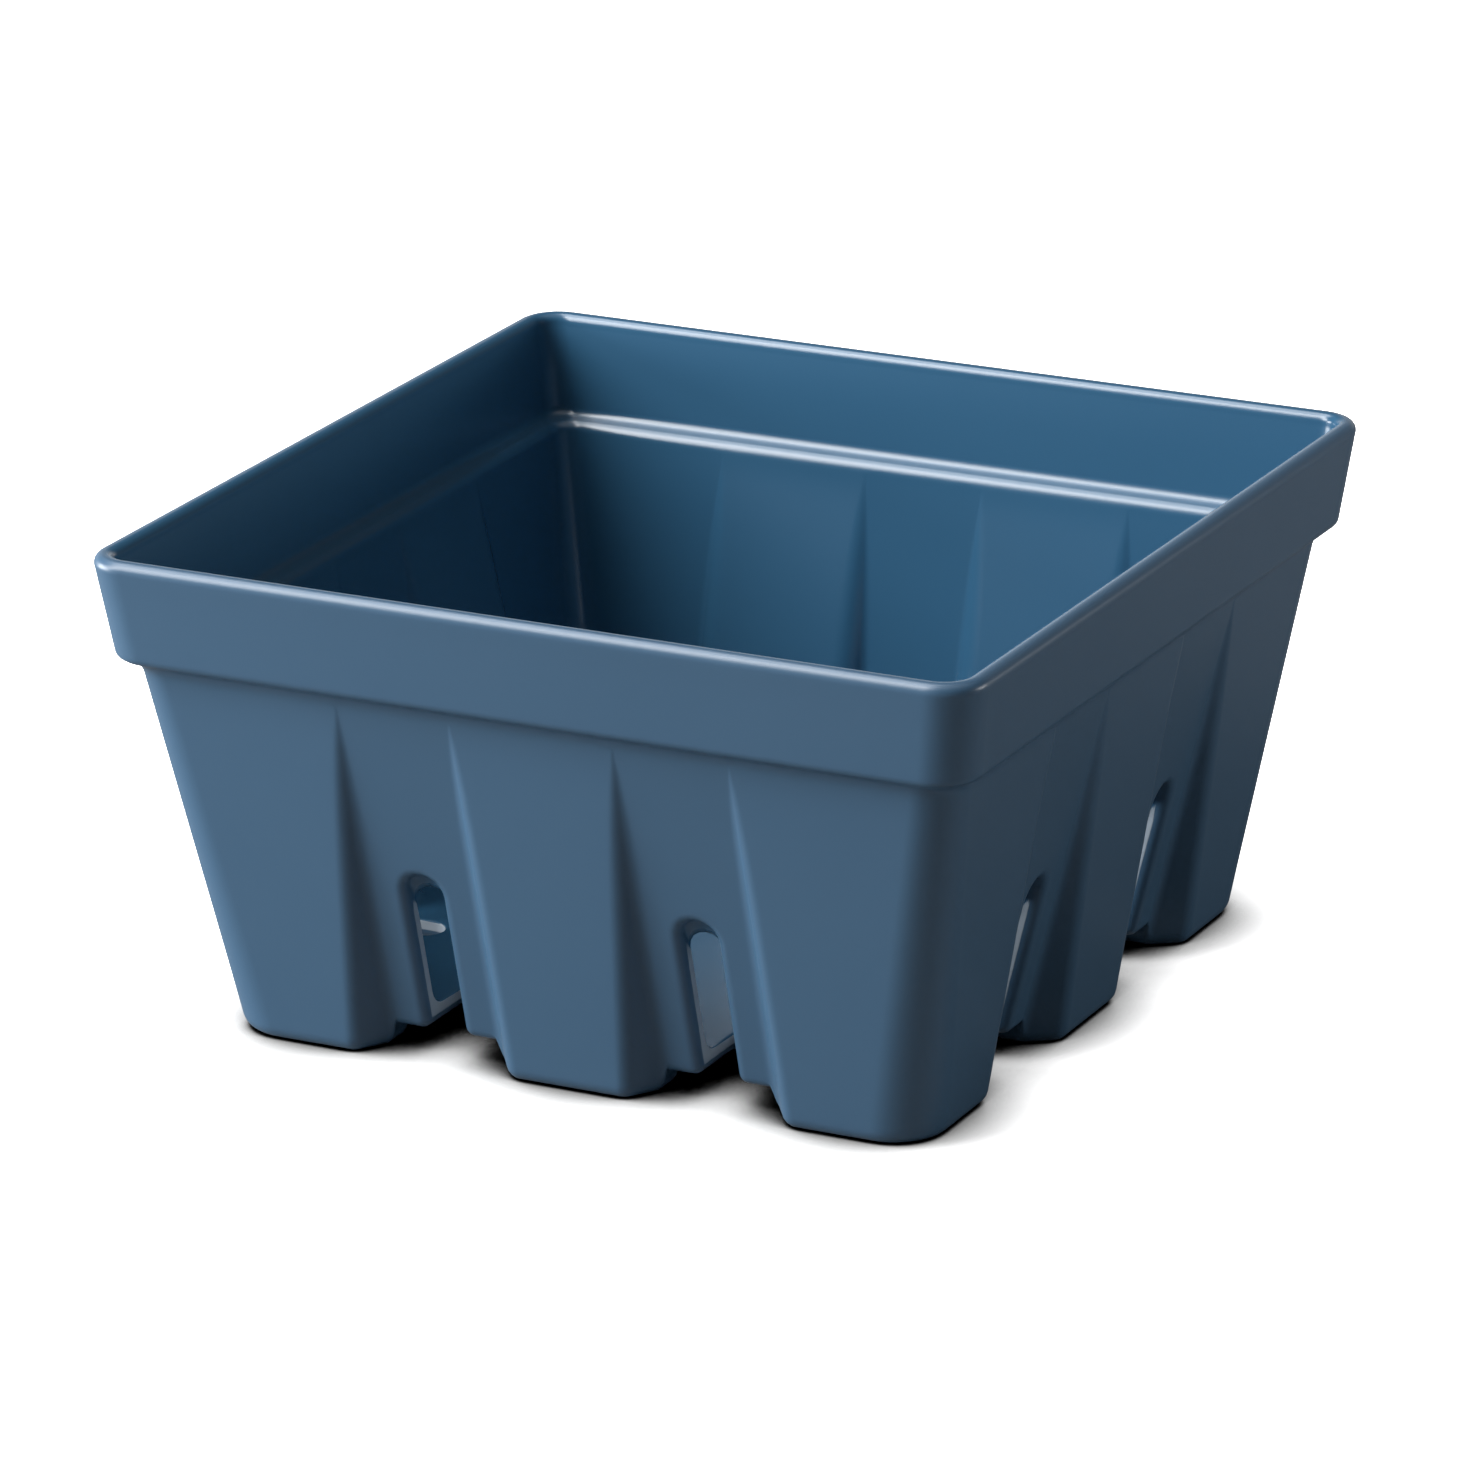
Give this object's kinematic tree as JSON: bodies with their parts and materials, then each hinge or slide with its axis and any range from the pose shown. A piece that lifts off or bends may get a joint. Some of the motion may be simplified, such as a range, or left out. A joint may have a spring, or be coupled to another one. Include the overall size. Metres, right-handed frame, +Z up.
{
  "type": "berry colander",
  "caption": "Square open-topped moulded berry colander: tapered walls under a rim band, recessed drain panels with arched slots that run in under the floor, and low feet.",
  "frame": {"origin": "on the ground, under the middle of the basket", "axes": "+Z up out of the open top, -Y towards the front wall, +X towards the right wall"},
  "size_m": [0.15, 0.15, 0.08],
  "materials": {
    "melamine": "slate blue melamine, satin outside and glossier inside"
  },
  "bodies": {
    "root": {"rim_front": "melamine", "rim_right": "melamine", "rim_back": "melamine", "rim_left": "melamine", "corner_leg_front_right": "melamine", "corner_leg_back_right": "melamine", "corner_leg_back_left": "melamine", "corner_leg_front_left": "melamine", "middle_leg_front": "melamine", "middle_leg_right": "melamine", "middle_leg_back": "melamine", "middle_leg_left": "melamine", "drain_panel_front_left": "melamine", "drain_panel_front_right": "melamine", "drain_panel_right_left": "melamine", "drain_panel_right_right": "melamine", "drain_panel_back_left": "melamine", "drain_panel_back_right": "melamine", "drain_panel_left_left": "melamine", "drain_panel_left_right": "melamine", "floor": "melamine"}
  },
  "joints": []
}
